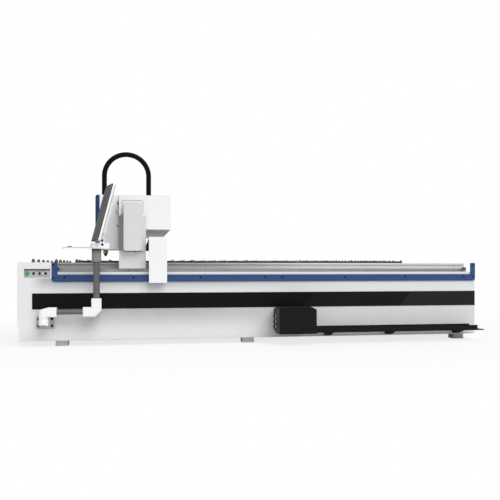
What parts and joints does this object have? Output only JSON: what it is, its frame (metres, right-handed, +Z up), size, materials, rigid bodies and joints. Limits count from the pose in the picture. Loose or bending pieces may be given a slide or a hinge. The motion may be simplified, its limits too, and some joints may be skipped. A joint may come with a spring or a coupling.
{
  "type": "fiber laser cutting machine",
  "caption": "Flat-bed fiber laser cutting machine with a slatted table, a gantry on rails, a lifting cutting head and an operator console on a swinging arm.",
  "frame": {"origin": "on the floor, under the middle of the machine's outer box at rest", "axes": "+X along the bed from the loading end, +Y from the operator's side to the far side, +Z up"},
  "size_m": [5, 2.684, 2.081],
  "materials": {
    "white_paint": "satin",
    "blue_paint": "satin",
    "black_paint": "satin",
    "black_gloss": "gloss",
    "grey_paint": "satin",
    "dark_steel": "satin",
    "bare_steel": "satin",
    "machined_aluminium": "satin",
    "nozzle_brass": "satin",
    "buffer_rubber": "matte",
    "green_plastic": "gloss",
    "black_plastic": "gloss",
    "screen_glass": "gloss"
  },
  "bodies": {
    "bed": {"side_beams": "white_paint", "cross_members": "white_paint", "front_cover": "white_paint", "front_deck": "white_paint", "rear_cover": "white_paint", "near_side_panel": "white_paint", "far_side_panel": "white_paint", "side_stripes": "black_gloss", "near_rail_covers": "blue_paint", "far_rail_covers": "blue_paint", "rail_walls": "white_paint", "guide_rails": "bare_steel", "drive_racks": "bare_steel", "rail_end_stops": "buffer_rubber", "levelling_feet": "grey_paint", "slat_frame": "dark_steel", "slats": "bare_steel", "scrap_tray": "dark_steel", "ball_rollers": "bare_steel", "button_panel": "white_paint", "junction_box": "black_paint", "cable_tray": "black_paint", "arm_flange": "grey_paint", "arm_base": "white_paint"},
    "green_push": {"green_button": "green_plastic"},
    "left_push": {"left_black_button": "black_plastic"},
    "middle_push": {"middle_black_button": "black_plastic"},
    "right_push": {"right_black_button": "black_plastic"},
    "gantry": {"guide_blocks": "bare_steel", "near_end_plate": "white_paint", "far_end_plate": "white_paint", "gantry_beam": "white_paint", "near_motor_cover": "white_paint", "far_motor_cover": "white_paint", "drive_motors": "black_paint", "drive_cover": "white_paint", "cover_bracket": "black_paint", "cable_trough": "white_paint", "beam_rails": "bare_steel", "beam_rack": "bare_steel"},
    "near_drive": {"near_pinion": "bare_steel"},
    "far_drive": {"far_pinion": "bare_steel"},
    "carriage": {"carriage_blocks": "bare_steel", "carriage_plate": "machined_aluminium", "axis_motors": "black_paint", "head_cover": "white_paint", "head_front_cover": "blue_paint", "cable_arch": "black_paint", "cable_carrier": "dark_steel"},
    "traverse_drive": {"traverse_pinion": "bare_steel"},
    "lift_drive": {"lift_screw": "bare_steel"},
    "head": {"lift_plate": "machined_aluminium", "cutting_head": "machined_aluminium", "nozzle": "nozzle_brass"},
    "arm": {"arm_elbow": "white_paint", "arm_corner": "white_paint", "arm_tubes": "machined_aluminium"},
    "console_unit": {"console": "grey_paint"},
    "monitor": {"monitor_housing": "grey_paint", "monitor_screen": "screen_glass"}
  },
  "joints": [
    {"name": "gantry_travel", "type": "slide", "parent": "bed", "child": "gantry", "axis": [1, 0, 0], "range_m": [0, 3]},
    {"name": "head_traverse", "type": "slide", "parent": "gantry", "child": "carriage", "axis": [0, 1, 0], "range_m": [0, 1.5]},
    {"name": "head_lift", "type": "slide", "parent": "carriage", "child": "head", "axis": [0, 0, 1], "range_m": [-0.03, 0.06]},
    {"name": "near_pinion_spin", "type": "hinge", "parent": "gantry", "child": "near_drive", "pos_m": [-1.347, -0.902, 0.78], "axis": [0, 0, 1], "continuous": true},
    {"name": "far_pinion_spin", "type": "hinge", "parent": "gantry", "child": "far_drive", "pos_m": [-1.347, 1.218, 0.78], "axis": [0, 0, 1], "continuous": true},
    {"name": "traverse_pinion_spin", "type": "hinge", "parent": "carriage", "child": "traverse_drive", "pos_m": [-1.537, -0.487, 1.366], "axis": [1, 0, 0], "continuous": true},
    {"name": "lift_screw_spin", "type": "hinge", "parent": "carriage", "child": "lift_drive", "pos_m": [-1.554, -0.592, 1.06], "axis": [0, 0, 1], "continuous": true},
    {"name": "arm_swing", "type": "hinge", "parent": "bed", "child": "arm", "pos_m": [-2.222, -1.142, 0.29], "axis": [0, 0, 1], "range_deg": [-150, 0]},
    {"name": "console_swivel", "type": "hinge", "parent": "arm", "child": "console_unit", "pos_m": [-1.706, -1.142, 0.872], "axis": [0, 0, 1], "range_deg": [-20, 110]},
    {"name": "monitor_tilt", "type": "hinge", "parent": "console_unit", "child": "monitor", "pos_m": [-1.66118, -1.13165, 1.083], "axis": [-0.225, 0.9744, 0], "range_deg": [-12, 5]},
    {"name": "green_press", "type": "slide", "parent": "bed", "child": "green_push", "axis": [0, 1, 0], "range_m": [0, 0.004], "stiffness_N_per_m": 900},
    {"name": "left_press", "type": "slide", "parent": "bed", "child": "left_push", "axis": [0, 1, 0], "range_m": [0, 0.004], "stiffness_N_per_m": 900},
    {"name": "middle_press", "type": "slide", "parent": "bed", "child": "middle_push", "axis": [0, 1, 0], "range_m": [0, 0.004], "stiffness_N_per_m": 900},
    {"name": "right_press", "type": "slide", "parent": "bed", "child": "right_push", "axis": [0, 1, 0], "range_m": [0, 0.004], "stiffness_N_per_m": 900}
  ],
  "couplings": [
    {"joint": "near_pinion_spin", "follows": "gantry_travel", "rad_per_m": 31.25},
    {"joint": "far_pinion_spin", "follows": "gantry_travel", "rad_per_m": -31.25},
    {"joint": "traverse_pinion_spin", "follows": "head_traverse", "rad_per_m": 38.462},
    {"joint": "lift_screw_spin", "follows": "head_lift", "rad_per_m": 314.16}
  ]
}
